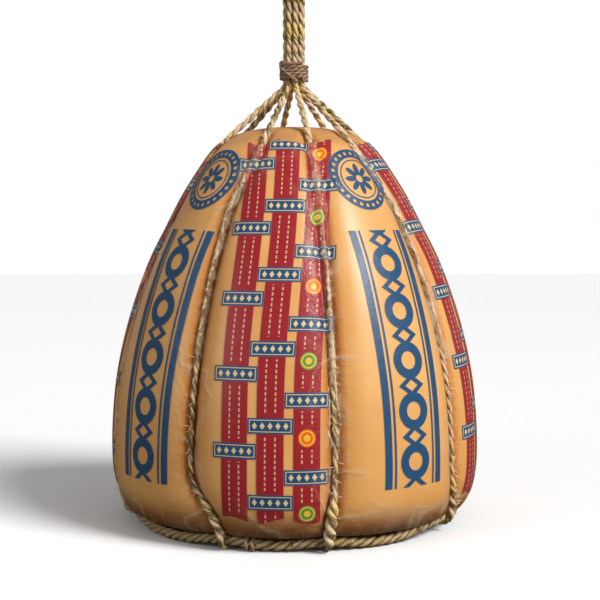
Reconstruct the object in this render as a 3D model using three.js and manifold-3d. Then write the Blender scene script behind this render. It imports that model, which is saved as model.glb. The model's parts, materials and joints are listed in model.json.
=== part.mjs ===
// A large hanging provolone: one ribbed, truncated-cone cheese in its shrink wrap, bound by eight straw cords.
// Millimetres, +Z up. The origin is the middle of the flat underside, and the front faces -Y.
// Angles are in degrees round +Z, from 0 at the front (-Y) towards +X.

import * as THREE from "three";
import { mergeVertices } from "three/addons/utils/BufferGeometryUtils.js";
import Module from "manifold-3d";

const wasm = await Module();
wasm.setup();

// Driving dimensions of the cheese.
const BODY_HEIGHT = 388;
const BELLY_RADIUS = 182.5;
const REST_RADIUS = 132; // of the flat that it stands on
const LOBE_DEPTH = 7.5; // how far a lobe's edge falls away towards the cord
const LOBE_POWER = 4.5;
const NOTCH_DEPTH = 3.5; // what the cord has pressed in besides
const NOTCH_HALF_WIDTH = 9;

// Driving dimensions of the cords.
const CORD_RADIUS = 3.3;
const GAP = 0.35; // between pieces that touch
const RING_THICKNESS = 4.6;
const RING_SAG = [158, 5.6]; // the ring's radius and height between two cords
const LOOP_THICKNESS = 2; // the turn of cord that goes round the ring
const KNOT_ANGLE = -14; // where the ring's own ends are knotted
const KNOT_THICKNESS = 2.4;
const KNOT_SINK = 2; // how far the knot's turn goes into the ring

// The tie above the cheese, the second whipping above that, and the eye that it hangs from.
const TIE_BOTTOM = 431.5;
const TIE_TOP = 452;
const NECK_RADIUS = 2.95; // of a cord where the tie squeezes it
const BUNDLE_RADIUS = 8.3; // of the circle that the eight cords stand on
const BUNDLE_TURN = -78; // where the first cord stands
const SLEEVE_INNER = 12;
const SLEEVE_OUTER = 14.1;
const WHIP_BOTTOM = 517;
const WHIP_TOP = 531;
const EYE_HALF_WIDTH = 17;
const EYE_HEIGHT = 52;
const EYE_CORD = 1; // this cord and the one opposite are one length, doubled into the eye

// The crest of a lobe, from the middle of the underside to the middle of the top: radius, height.
const CREST = [
  [0, 0],
  [REST_RADIUS, 0],
  [141, 1.6],
  [146, 7],
  [149.5, 13],
  [154, 15.8],
  [159.5, 15.6],
  [164.5, 14.2],
  [170, 18],
  [175.5, 26.5],
  [179.2, 37],
  [181.8, 52],
  [BELLY_RADIUS, 78],
  [181.2, 106],
  [178.2, 136],
  [172.8, 166],
  [165, 197],
  [155, 228],
  [142.4, 260],
  [127.2, 290],
  [111, 321],
  [94.6, 347],
  [84, 362],
  [76, 370.5],
  [66, 376.5],
  [50, 382.8],
  [26, 387],
  [0, BODY_HEIGHT],
];
const LANDING_ROW = 9; // where a cord comes on to the cheese above the ring
const LEAVING_ROW = CREST.length - 4; // and where it leaves the edge of the dome for the tie
const EDGE_RISE = 1.2; // how far it climbs out of its groove there

// Each cord's angle at the ring, along the groove and where it leaves the shoulder, the radius and
// height to which it draws the ring, and its own radius where it is doubled back above the ring.
const CORDS = [
  { foot: -80, groove: -77, shoulder: -77, ring: [160.5, 15], doubled: 3.8 },
  { foot: -23, groove: -32, shoulder: -24, ring: [160, 9.2], doubled: 4.3 },
  { foot: 11, groove: 12.3, shoulder: 12.4, ring: [159, 9], doubled: 5.8 },
  { foot: 61.5, groove: 58, shoulder: 50, ring: [162, 15], doubled: 4.2 },
  { foot: 99, groove: 101, shoulder: 102, ring: [161, 12], doubled: 5.2 },
  { foot: 149, groove: 146, shoulder: 144, ring: [159, 9.5], doubled: 4.2 },
  { foot: 187, groove: 191, shoulder: 193, ring: [161, 12], doubled: 5 },
  { foot: 241, groove: 236, shoulder: 235, ring: [159, 9.5], doubled: 4.3 },
];

const COLOURS = {
  cheese: 0xdc9c55,
  straw: 0xc2a566,
  twine: 0x7d5c48,
};

const { degToRad, lerp, smoothstep } = THREE.MathUtils;

// A point at an angle, a radius and a height.
function around(angle, radius, height) {
  const a = degToRad(angle);
  return new THREE.Vector3(radius * Math.sin(a), -radius * Math.cos(a), height);
}

function cordAngle(cord, height) {
  const foot = 1 - smoothstep(height, 12, 75);
  const shoulder = smoothstep(height, 300, 372);
  return cord.groove + foot * (cord.foot - cord.groove) + shoulder * (cord.shoulder - cord.groove);
}

// A row of the crest with the direction out of the cheese there, and how deep the grooves are in it:
// none on the top or on the flat underside.
const ROWS = CREST.map(([radius, height], i) => {
  const below = CREST[Math.max(i - 1, 0)];
  const above = CREST[Math.min(i + 1, CREST.length - 1)];
  const out = new THREE.Vector2(above[1] - below[1], below[0] - above[0]).normalize();
  const shoulder = 1 - 0.22 * smoothstep(height, 200, 350);
  const grooves = smoothstep(height, 1, 40) * shoulder * smoothstep(radius, 45, 82);
  return { radius, height, out, grooves };
});

function closedSolid(geometry) {
  const bare = geometry.clone();
  bare.deleteAttribute("normal");
  bare.deleteAttribute("uv");
  const merged = mergeVertices(bare, 1e-3);
  return new wasm.Manifold(
    new wasm.Mesh({
      numProp: 3,
      vertProperties: new Float32Array(merged.attributes.position.array),
      triVerts: new Uint32Array(merged.index.array),
    }),
  );
}

function geometryOf(solid) {
  const mesh = solid.getMesh();
  const geometry = new THREE.BufferGeometry();
  geometry.setAttribute("position", new THREE.BufferAttribute(mesh.vertProperties, 3));
  geometry.setIndex(new THREE.BufferAttribute(mesh.triVerts, 1));
  geometry.computeVertexNormals();
  return geometry;
}

function node(name, geometry, colour, roughness) {
  const mesh = new THREE.Mesh(geometry, new THREE.MeshStandardMaterial({ color: colour, roughness, metalness: 0 }));
  mesh.name = name;
  return mesh;
}

// The columns of one lobe: beside each cord by distance in millimetres, with the most of the lobe
// that this may be, and then by share of the lobe.
const EDGE_COLUMNS = [
  [2.4, 0.05],
  [6.5, 0.11],
  [13, 0.19],
  [24, 0.28],
];
const MIDDLE_COLUMNS = [0.39, 0.5, 0.61];
const LOBE_COLUMNS = 2 * EDGE_COLUMNS.length + MIDDLE_COLUMNS.length;

function lobeShares(arc) {
  const edge = EDGE_COLUMNS.map(([distance, most]) => Math.min(distance / arc, most));
  return [...edge, ...MIDDLE_COLUMNS, ...edge.map((share) => 1 - share).reverse()];
}

// The cheese: a lathe of the crest, whose columns crowd towards the cords, pressed in along each groove.
function cheeseGeometry() {
  const columns = CORDS.length * LOBE_COLUMNS;
  const outline = ROWS.map((row) => new THREE.Vector2(row.radius, row.height));
  const lathe = new THREE.LatheGeometry(outline, columns);
  const place = lathe.attributes.position;
  for (let c = 0; c <= columns; c++) {
    const lobe = Math.floor(c / LOBE_COLUMNS) % CORDS.length;
    const last = lobe === CORDS.length - 1;
    ROWS.forEach((row, i) => {
      const low = cordAngle(CORDS[lobe], row.height);
      const high = cordAngle(CORDS[(lobe + 1) % CORDS.length], row.height) + (last ? 360 : 0);
      const arc = degToRad(high - low) * row.radius;
      const shares = lobeShares(arc);
      const share = shares[c % LOBE_COLUMNS];
      const fromCord = Math.min(share, 1 - share);
      const inLobe = (fromCord - shares[0]) / (0.5 - shares[0]);
      const notch = 1 - smoothstep(fromCord * arc, EDGE_COLUMNS[0][0], NOTCH_HALF_WIDTH);
      const depth = row.grooves * (LOBE_DEPTH * Math.pow(1 - inLobe, LOBE_POWER) + NOTCH_DEPTH * notch);
      const radius = Math.max(row.radius - depth * row.out.x, 0);
      const point = around(lerp(low, high, share), radius, row.height - depth * row.out.y);
      place.setXYZ(c * ROWS.length + i, point.x, point.y, point.z);
    });
  }
  return lathe;
}

// A route with a ring of the tube at each of its points, whatever the distance between them.
class Route extends THREE.Curve {
  constructor(points) {
    super();
    this.points = points;
  }

  getPoint(share) {
    const at = share * (this.points.length - 1);
    const i = Math.min(Math.floor(at), this.points.length - 2);
    return this.points[i].clone().lerp(this.points[i + 1], at - i);
  }

  getPointAt(share) {
    return this.getPoint(share);
  }

  getTangentAt(share) {
    return this.getTangent(share);
  }
}

// A round section for the tubes.
const TUBE_SIDES = 8;

function tubeSection(radius) {
  const section = new THREE.Shape();
  for (let i = 0; i < TUBE_SIDES; i++) {
    const a = (i * 2 * Math.PI) / TUBE_SIDES;
    if (i === 0) section.moveTo(radius, 0);
    else section.lineTo(radius * Math.cos(a), radius * Math.sin(a));
  }
  section.closePath();
  return section;
}

// A tube through points that each carry a radius.
function tube(stations) {
  const thickest = Math.max(...stations.map((station) => station.radius));
  const geometry = new THREE.ExtrudeGeometry(tubeSection(thickest), {
    steps: stations.length - 1,
    extrudePath: new Route(stations.map((station) => station.at)),
    bevelEnabled: false,
  });
  const place = geometry.attributes.position;
  const vertex = new THREE.Vector3();
  for (let i = 0; i < place.count; i++) {
    vertex.fromBufferAttribute(place, i);
    let nearest = stations[0];
    for (const station of stations) {
      if (station.at.distanceToSquared(vertex) < nearest.at.distanceToSquared(vertex)) nearest = station;
    }
    vertex.sub(nearest.at).multiplyScalar(nearest.radius / thickest).add(nearest.at);
    place.setXYZ(i, vertex.x, vertex.y, vertex.z);
  }
  return geometry;
}

// The ring's middle at an angle: each cord draws it up and out over a reach that goes with the lift,
// and it sags in between.
function ringCentre(angle) {
  let out = 0;
  let up = 0;
  for (const cord of CORDS) {
    const [pulledTo, liftedTo] = cord.ring;
    const away = Math.abs(((angle - cord.foot + 540) % 360) - 180);
    const held = 1 - smoothstep(away, 1, 9 + 2.2 * (liftedTo - RING_SAG[1]));
    out = Math.max(out, held * (pulledTo - RING_SAG[0]));
    up = Math.max(up, held * (liftedTo - RING_SAG[1]));
  }
  return around(angle, RING_SAG[0] + out, RING_SAG[1] + up);
}

function bundleAngle(k) {
  return BUNDLE_TURN + (360 / CORDS.length) * k;
}

// The middle line of a bound cord: up the outside of the ring, along the groove, and over to the tie.
function ropeStations(k) {
  const cord = CORDS[k];
  const [ringRadius, ringHeight] = cord.ring;
  const beside = ringRadius + RING_THICKNESS + GAP;
  const stations = [
    { at: around(cord.foot, beside + LOOP_THICKNESS, ringHeight - 5), radius: LOOP_THICKNESS },
    { at: around(cord.foot, beside + cord.doubled - 0.7, ringHeight), radius: cord.doubled - 0.8 },
    { at: around(cord.foot, beside + cord.doubled + 0.8, ringHeight + 8), radius: cord.doubled },
  ];
  for (let i = LANDING_ROW; i <= LEAVING_ROW; i++) {
    const { radius, height, out, grooves } = ROWS[i];
    if (height < ringHeight + 16) continue;
    const thick = lerp(cord.doubled, CORD_RADIUS, smoothstep(height, 38, 58));
    const rise = EDGE_RISE * smoothstep(height, 371, 376) + 0.4 * (thick - CORD_RADIUS);
    const lift = thick + 1.5 * GAP + rise - grooves * (LOBE_DEPTH + NOTCH_DEPTH);
    const at = around(cordAngle(cord, height), radius + lift * out.x, height + lift * out.y);
    stations.push({ at, radius: thick });
  }
  const shoulder = stations[stations.length - 1].at;
  const entry = around(bundleAngle(k), BUNDLE_RADIUS + 2.2, TIE_BOTTOM - 5.5);
  stations.push({ at: shoulder.clone().lerp(entry, 0.85), radius: CORD_RADIUS });
  stations.push({ at: entry, radius: lerp(CORD_RADIUS, NECK_RADIUS, 0.7) });
  stations.push({ at: around(bundleAngle(k), BUNDLE_RADIUS, TIE_BOTTOM - 1.5), radius: NECK_RADIUS });
  stations.push({ at: around(bundleAngle(k), BUNDLE_RADIUS, TIE_MIDDLE - GAP / 2), radius: NECK_RADIUS });
  return stations;
}

function grown(stations, by) {
  return stations.map(({ at, radius }) => ({ at, radius: radius + by }));
}

// The turn of cord round the ring, as a small torus that stands across it.
const LOOP_SIDES = 6;
const LOOP_STEPS = 12;

function loopSolid(angle, inner, thickness) {
  const loop = new THREE.TorusGeometry(inner + thickness, thickness, LOOP_SIDES, LOOP_STEPS);
  loop.rotateX(Math.PI / 2);
  loop.rotateZ(degToRad(angle) - Math.PI / 2);
  const centre = ringCentre(angle);
  loop.translate(centre.x, centre.y, centre.z);
  return closedSolid(loop);
}

// The rope ring under the cheese's edge.
const RING_STEPS = 56;

function ringSolid(thickness) {
  const centres = [];
  for (let i = 0; i < RING_STEPS; i++) centres.push(ringCentre((360 * i) / RING_STEPS));
  const middle = new THREE.CatmullRomCurve3(centres, true);
  return closedSolid(new THREE.TubeGeometry(middle, RING_STEPS, thickness, TUBE_SIDES, true));
}

// A wound sleeve of twine: a closed outline with one bulge for each turn.
const TIE_MIDDLE = (TIE_BOTTOM + TIE_TOP) / 2;
const SLEEVE_TURNS = 4;
const SLEEVE_STEPS = 24;

function sleeveGeometry(bottom, top) {
  const outline = [new THREE.Vector2(SLEEVE_INNER, bottom)];
  const pitch = (top - bottom) / SLEEVE_TURNS;
  for (let i = 0; i < SLEEVE_TURNS; i++) {
    outline.push(new THREE.Vector2(SLEEVE_OUTER - 1.2, bottom + pitch * (i + 0.08)));
    outline.push(new THREE.Vector2(SLEEVE_OUTER, bottom + pitch * (i + 0.5)));
  }
  outline.push(new THREE.Vector2(SLEEVE_OUTER - 1.2, top), new THREE.Vector2(SLEEVE_INNER, top));
  outline.push(outline[0].clone());
  const sleeve = new THREE.LatheGeometry(outline, SLEEVE_STEPS);
  sleeve.rotateX(Math.PI / 2);
  return sleeve;
}

// The cords above the tie: six end in the whipping, and two are one length that makes the eye.
const HANG_START = TIE_MIDDLE + GAP / 2;
const HANG_STEPS = 5;
const EYE_STEPS = 30;

function hangStations(k) {
  const stations = [];
  for (let i = 0; i <= HANG_STEPS; i++) {
    const at = around(bundleAngle(k), BUNDLE_RADIUS, lerp(HANG_START, WHIP_TOP + 5, i / HANG_STEPS));
    stations.push({ at, radius: NECK_RADIUS });
  }
  return stations;
}

function eyeStations() {
  const side = (angle) => [
    around(angle, BUNDLE_RADIUS, HANG_START),
    around(angle, BUNDLE_RADIUS, WHIP_BOTTOM - 20),
    around(angle, BUNDLE_RADIUS, WHIP_TOP),
    around(angle, EYE_HALF_WIDTH - 4, WHIP_TOP + 0.28 * EYE_HEIGHT),
    around(angle, EYE_HALF_WIDTH, WHIP_TOP + 0.6 * EYE_HEIGHT),
    around(angle, 0.62 * EYE_HALF_WIDTH, WHIP_TOP + 0.92 * EYE_HEIGHT),
  ];
  const up = side(bundleAngle(EYE_CORD));
  const down = side(bundleAngle(EYE_CORD + CORDS.length / 2)).reverse();
  const top = new THREE.Vector3(0, 0, WHIP_TOP + EYE_HEIGHT);
  const middle = new THREE.CatmullRomCurve3([...up, top, ...down], false, "centripetal");
  return middle.getSpacedPoints(EYE_STEPS).map((at) => ({ at, radius: NECK_RADIUS }));
}

// The cheese gives way to the foot of each cord, to the turns round the ring, and to the ring's own knot.
const ropes = CORDS.map((cord, k) => ropeStations(k));
const footStations = (k) => grown(ropes[k].slice(0, 6), GAP);
const clearance = wasm.Manifold.union([
  loopSolid(KNOT_ANGLE, RING_THICKNESS - KNOT_SINK - GAP, KNOT_THICKNESS + GAP),
  ...CORDS.map((cord) => loopSolid(cord.foot, RING_THICKNESS - GAP, LOOP_THICKNESS + 2 * GAP)),
  ...CORDS.map((cord, k) => closedSolid(tube(footStations(k)))),
  ringSolid(RING_THICKNESS + GAP),
]);

const provolone = new THREE.Group();
provolone.add(node("cheese", geometryOf(closedSolid(cheeseGeometry()).subtract(clearance)), COLOURS.cheese, 0.4));
CORDS.forEach((cord, k) => {
  const loop = loopSolid(cord.foot, RING_THICKNESS + GAP, LOOP_THICKNESS);
  const rope = closedSolid(tube(ropes[k])).add(loop).subtract(ringSolid(RING_THICKNESS + GAP));
  provolone.add(node(`rope_${k + 1}`, geometryOf(rope), COLOURS.straw, 0.8));
});

const ringKnot = loopSolid(KNOT_ANGLE, RING_THICKNESS - KNOT_SINK, KNOT_THICKNESS);
provolone.add(node("foot_ring", geometryOf(ringSolid(RING_THICKNESS).add(ringKnot)), COLOURS.straw, 0.8));
provolone.add(node("tie", sleeveGeometry(TIE_BOTTOM, TIE_TOP), COLOURS.twine, 0.85));
provolone.add(node("top_whipping", sleeveGeometry(WHIP_BOTTOM, WHIP_TOP), COLOURS.twine, 0.85));

let hung = 0;
for (let k = 0; k < CORDS.length; k++) {
  if (k % (CORDS.length / 2) === EYE_CORD) continue;
  hung += 1;
  provolone.add(node(`hang_cord_${hung}`, tube(hangStations(k)), COLOURS.straw, 0.8));
}
provolone.add(node("hang_eye", tube(eyeStations()), COLOURS.straw, 0.8));

export default provolone;
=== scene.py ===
# %% [markdown]
# A large provolone hangs in eight straw cords. Before it was corded it was shrunk into a printed clear
# sleeve, which leaves the domed top bare, rides over the cords near the shoulder and is slit beside them
# lower down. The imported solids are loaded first: they are the frame that every piece here is fitted to.
# All sizes are in metres, so a size in millimetres is written as a number times MM.

import json
import math
import random

import bmesh
import bpy
from mathutils import Matrix, Vector, noise
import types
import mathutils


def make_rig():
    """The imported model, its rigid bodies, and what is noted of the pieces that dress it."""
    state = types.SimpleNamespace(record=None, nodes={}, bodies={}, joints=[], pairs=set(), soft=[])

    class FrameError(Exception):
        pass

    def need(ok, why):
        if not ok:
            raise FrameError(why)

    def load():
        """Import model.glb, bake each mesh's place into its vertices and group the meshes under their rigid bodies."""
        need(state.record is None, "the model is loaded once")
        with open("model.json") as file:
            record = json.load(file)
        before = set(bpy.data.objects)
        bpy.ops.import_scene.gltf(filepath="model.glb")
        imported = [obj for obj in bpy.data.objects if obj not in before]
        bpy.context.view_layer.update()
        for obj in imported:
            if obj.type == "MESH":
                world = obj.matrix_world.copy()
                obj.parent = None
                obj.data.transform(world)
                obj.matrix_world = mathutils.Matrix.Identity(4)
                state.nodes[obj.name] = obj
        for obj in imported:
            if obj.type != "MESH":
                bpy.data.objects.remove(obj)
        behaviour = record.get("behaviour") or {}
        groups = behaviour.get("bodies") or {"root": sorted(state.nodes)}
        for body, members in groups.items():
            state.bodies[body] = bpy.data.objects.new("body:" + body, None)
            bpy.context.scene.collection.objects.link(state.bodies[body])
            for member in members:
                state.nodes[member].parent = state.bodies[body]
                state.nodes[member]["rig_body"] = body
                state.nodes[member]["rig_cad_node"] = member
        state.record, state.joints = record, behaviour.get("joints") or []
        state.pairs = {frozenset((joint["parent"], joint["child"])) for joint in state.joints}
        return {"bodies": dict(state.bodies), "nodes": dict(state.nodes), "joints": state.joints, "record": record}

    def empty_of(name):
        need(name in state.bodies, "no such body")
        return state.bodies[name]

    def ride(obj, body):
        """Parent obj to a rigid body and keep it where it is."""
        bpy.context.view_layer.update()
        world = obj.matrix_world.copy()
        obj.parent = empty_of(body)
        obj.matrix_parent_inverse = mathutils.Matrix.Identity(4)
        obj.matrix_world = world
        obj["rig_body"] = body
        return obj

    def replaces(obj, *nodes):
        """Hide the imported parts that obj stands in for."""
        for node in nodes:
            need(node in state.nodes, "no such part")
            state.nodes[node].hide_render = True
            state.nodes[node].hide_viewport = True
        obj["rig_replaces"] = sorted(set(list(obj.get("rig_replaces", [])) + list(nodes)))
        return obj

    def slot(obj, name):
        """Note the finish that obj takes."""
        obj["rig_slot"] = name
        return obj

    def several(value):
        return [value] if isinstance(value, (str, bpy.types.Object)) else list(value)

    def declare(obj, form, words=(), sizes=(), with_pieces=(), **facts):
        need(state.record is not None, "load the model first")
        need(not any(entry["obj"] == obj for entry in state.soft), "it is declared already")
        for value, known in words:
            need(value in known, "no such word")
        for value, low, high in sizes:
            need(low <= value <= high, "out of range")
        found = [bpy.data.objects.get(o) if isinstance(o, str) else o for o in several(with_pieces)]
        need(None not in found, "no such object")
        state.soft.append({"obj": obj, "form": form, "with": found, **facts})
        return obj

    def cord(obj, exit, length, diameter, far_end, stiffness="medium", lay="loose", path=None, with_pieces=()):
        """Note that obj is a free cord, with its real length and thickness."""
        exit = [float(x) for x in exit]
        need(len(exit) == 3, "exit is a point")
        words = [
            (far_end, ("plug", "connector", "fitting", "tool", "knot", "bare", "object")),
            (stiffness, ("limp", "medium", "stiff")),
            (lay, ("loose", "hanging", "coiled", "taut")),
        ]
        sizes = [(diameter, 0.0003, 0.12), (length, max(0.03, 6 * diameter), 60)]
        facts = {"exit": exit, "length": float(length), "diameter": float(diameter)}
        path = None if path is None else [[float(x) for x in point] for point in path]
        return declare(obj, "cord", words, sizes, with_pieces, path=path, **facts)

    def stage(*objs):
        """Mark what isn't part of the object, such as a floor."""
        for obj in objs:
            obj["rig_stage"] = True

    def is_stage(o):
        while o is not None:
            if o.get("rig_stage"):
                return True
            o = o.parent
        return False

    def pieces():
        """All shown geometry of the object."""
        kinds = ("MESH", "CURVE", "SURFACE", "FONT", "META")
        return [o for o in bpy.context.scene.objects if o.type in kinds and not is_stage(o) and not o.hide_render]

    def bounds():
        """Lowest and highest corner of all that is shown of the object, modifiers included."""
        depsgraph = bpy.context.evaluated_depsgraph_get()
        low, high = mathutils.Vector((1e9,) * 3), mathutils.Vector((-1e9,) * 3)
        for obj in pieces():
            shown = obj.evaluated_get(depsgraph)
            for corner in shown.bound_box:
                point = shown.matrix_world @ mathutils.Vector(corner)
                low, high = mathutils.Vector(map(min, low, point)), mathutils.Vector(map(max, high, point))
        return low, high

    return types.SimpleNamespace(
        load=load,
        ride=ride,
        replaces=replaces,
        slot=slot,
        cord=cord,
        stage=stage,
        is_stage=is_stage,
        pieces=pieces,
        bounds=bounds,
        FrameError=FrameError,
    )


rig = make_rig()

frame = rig.load()
CAD_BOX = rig.bounds()
MM = 0.001
print("solids:", len(frame["nodes"]))

# %% [markdown]
# The picture is taken a little from above and from close by, with a long lens. A camera that looks at
# the middle of the picture from that height gives the same view, so nothing has to be shifted.

# %% Camera
VIEW_TARGET = Vector((6, 0, 216.2)) * MM
VIEW_DISTANCE = 1450 * MM
VIEW_PITCH = math.radians(4.5)
VIEW_LENS = 87

camera_data = bpy.data.cameras.new("camera")
camera_data.lens = VIEW_LENS
camera_data.sensor_width = 36
camera = bpy.data.objects.new("camera", camera_data)
camera.location = VIEW_TARGET + VIEW_DISTANCE * Vector((0, -math.cos(VIEW_PITCH), math.sin(VIEW_PITCH)))
camera.rotation_euler = (VIEW_TARGET - camera.location).to_track_quat("-Z", "Y").to_euler()
bpy.context.collection.objects.link(camera)
bpy.context.scene.camera = camera

# %% [markdown]
# The dimensions below are the ones that the solids were made from. The crest is the outline of a lobe
# half-way between two cords, as pairs of radius and height in millimetres. Each cord has its angle at the
# ring, along its groove and at the shoulder, in degrees from the front. It also has the radius and
# height to which it draws the ring, and its own radius where it is doubled above the ring.

# %% Dimensions of the cheese and its cords
CREST = [
    (0, 0),
    (132, 0),
    (141, 1.6),
    (146, 7),
    (149.5, 13),
    (154, 15.8),
    (159.5, 15.6),
    (164.5, 14.2),
    (170, 18),
    (175.5, 26.5),
    (179.2, 37),
    (181.8, 52),
    (182.5, 78),
    (181.2, 106),
    (178.2, 136),
    (172.8, 166),
    (165, 197),
    (155, 228),
    (142.4, 260),
    (127.2, 290),
    (111, 321),
    (94.6, 347),
    (84, 362),
    (76, 370.5),
    (66, 376.5),
    (50, 382.8),
    (26, 387),
    (0, 388),
]
CORDS = [
    {"foot": -80, "groove": -77, "shoulder": -77, "ring": (160.5, 15), "doubled": 3.8},
    {"foot": -23, "groove": -32, "shoulder": -24, "ring": (160, 9.2), "doubled": 4.3},
    {"foot": 11, "groove": 12.3, "shoulder": 12.4, "ring": (159, 9), "doubled": 5.8},
    {"foot": 61.5, "groove": 58, "shoulder": 50, "ring": (162, 15), "doubled": 4.2},
    {"foot": 99, "groove": 101, "shoulder": 102, "ring": (161, 12), "doubled": 5.2},
    {"foot": 149, "groove": 146, "shoulder": 144, "ring": (159, 9.5), "doubled": 4.2},
    {"foot": 187, "groove": 191, "shoulder": 193, "ring": (161, 12), "doubled": 5},
    {"foot": 241, "groove": 236, "shoulder": 235, "ring": (159, 9.5), "doubled": 4.3},
]
LOBE_DEPTH = 7.5 * MM
LOBE_POWER = 4.5
NOTCH_DEPTH = 3.5 * MM
NOTCH_HALF_WIDTH = 9 * MM
NOTCH_FLOOR = 2.4 * MM
CORD_RADIUS = 3.3 * MM
NECK_RADIUS = 2.95 * MM
GAP = 0.35 * MM
RING_THICKNESS = 4.6 * MM
RING_SAG = (158, 5.6)
LOOP_THICKNESS = 2 * MM
TIE_BOTTOM = 431.5 * MM
TIE_TOP = 452 * MM
TIE_MIDDLE = (TIE_BOTTOM + TIE_TOP) / 2
BUNDLE_RADIUS = 8.3 * MM
BUNDLE_TURN = -78
SLEEVE_INNER = 12 * MM
WHIP_BOTTOM = 517 * MM
WHIP_TOP = 531 * MM
EYE_CORD = 1
EYE_HALF_WIDTH = 17 * MM
EYE_HEIGHT = 52 * MM


def clamp(value, low=0.0, high=1.0):
    return max(low, min(value, high))


def lerp(a, b, share):
    return a + (b - a) * share


def smoothstep(value, low, high):
    share = clamp((value - low) / (high - low))
    return share * share * (3 - 2 * share)


def around(angle, radius, height):
    """The point at an angle in degrees from the front, a radius and a height."""
    a = math.radians(angle)
    return Vector((radius * math.sin(a), -radius * math.cos(a), height))


def cord_angle(cord, height):
    foot = 1 - smoothstep(height, 12 * MM, 75 * MM)
    shoulder = smoothstep(height, 300 * MM, 372 * MM)
    away = foot * (cord["foot"] - cord["groove"]) + shoulder * (cord["shoulder"] - cord["groove"])
    return cord["groove"] + away


# %% [markdown]
# A smooth line through a few named points serves both for outlines and for the routes of cords. Each
# point gets the direction from the one before it to the one after it, and the line is then walked in
# even steps, so a piece that is laid on it has rings of even spacing.


# %% Smooth lines
def smooth_line(points, step, closed=False):
    """Points an even step apart on a smooth line through the given ones."""
    points = [Vector(point) for point in points]
    last = len(points) - 1

    def at(i):
        return points[i % len(points)] if closed else points[int(clamp(i, 0, last))]

    fine = []
    for i in range(last + 1 if closed else last):
        a, b = at(i), at(i + 1)
        span = (b - a).length
        leave = (b - at(i - 1)).normalized() * span
        arrive = (at(i + 2) - a).normalized() * span
        for n in range(20):
            t = n / 20
            start = (1 + 2 * t) * (1 - t) ** 2 * a + t * (1 - t) ** 2 * leave
            fine.append(start + t * t * (3 - 2 * t) * b + t * t * (t - 1) * arrive)
    fine.append(at(last + 1))
    lengths = [0.0]
    for a, b in zip(fine, fine[1:]):
        lengths.append(lengths[-1] + (b - a).length)
    count = max(2, round(lengths[-1] / step))
    line = []
    i = 0
    for n in range(count + 1):
        wanted = lengths[-1] * n / count
        while i < len(fine) - 2 and lengths[i + 1] < wanted:
            i += 1
        line.append(fine[i].lerp(fine[i + 1], clamp((wanted - lengths[i]) / (lengths[i + 1] - lengths[i]))))
    return line


def line_length(line):
    return sum((b - a).length for a, b in zip(line, line[1:]))


# %% [markdown]
# Every row of the crest knows its height, the direction out of the cheese and how deep the grooves are
# there: full along the sides, shallower at the shoulder, and none on the dome or the flat underside.

# %% Rows of the crest
ROW_STEP = 3.2 * MM


def rows_of(outline):
    rows = []
    travelled = 0.0
    for i, (radius, height) in enumerate(outline):
        below = outline[max(i - 1, 0)]
        above = outline[min(i + 1, len(outline) - 1)]
        out = Vector((above[1] - below[1], below[0] - above[0])).normalized()
        if i:
            travelled += math.dist(outline[i], outline[i - 1])
        shoulder = 1 - 0.22 * smoothstep(height, 200 * MM, 350 * MM)
        grooves = smoothstep(height, 1 * MM, 40 * MM) * shoulder * smoothstep(radius, 45 * MM, 82 * MM)
        rows.append({"radius": radius, "height": height, "out": out, "grooves": grooves, "along": travelled})
    return rows


ROWS = rows_of([tuple(point) for point in smooth_line([Vector(p) * MM for p in CREST], ROW_STEP)])
print("rows of the crest:", len(ROWS))


# %% [markdown]
# The cheese, and the sleeve on it, are both the crest turned round the axis and then pressed in beside
# each cord. So one function says how deep a point of the cheese lies under the crest, from its row and
# its distance to the nearest cord. A second gives the film over a cord: it can't follow the groove
# there, so it goes over the cord's back and then straight down to the lobe, like a tent. A cord in its
# groove is squeezed to a share of its free thickness.


# %% How deep the cheese and the film over a cord lie
SQUEEZED = 0.82
TENT_SLOPE_LOW = 2.4
TENT_SLOPE_HIGH = 0.3
FILM_LIFT = 0.35 * MM


def press(row, from_cord, half_arc):
    """How far the cheese lies under the crest."""
    floor = min(NOTCH_FLOOR, 0.1 * half_arc)
    in_lobe = clamp((from_cord - floor) / (half_arc - floor)) if half_arc > 1e-6 else 0
    notch = 1 - smoothstep(from_cord, NOTCH_FLOOR, NOTCH_HALF_WIDTH)
    return row["grooves"] * (LOBE_DEPTH * (1 - in_lobe) ** LOBE_POWER + NOTCH_DEPTH * notch)


def over_cord(row, from_cord):
    """How far a film stretched over the cord lies under the crest."""
    middle = row["grooves"] * (LOBE_DEPTH + NOTCH_DEPTH) - CORD_RADIUS - 1.5 * GAP
    reach = SQUEEZED * CORD_RADIUS + FILM_LIFT
    slope = lerp(TENT_SLOPE_LOW, TENT_SLOPE_HIGH, smoothstep(row["height"], 210 * MM, 330 * MM))
    leaves = reach * math.sin(math.atan(slope))
    if from_cord < leaves:
        return middle - math.sqrt(reach**2 - from_cord**2)
    return middle - math.sqrt(reach**2 - leaves**2) + slope * (from_cord - leaves)


# %% [markdown]
# Both skins are spun one lobe at a time, from the outline at its first cord to its second. That gives
# even columns, which are then crowded towards the cords, where the surface bends most. Each vertex
# remembers its row, so it can be moved to its place on the real outline.


# %% Spin one lobe
LOBE_COLUMNS = 36
LOBE_ANGLE = 360 / len(CORDS)


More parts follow.
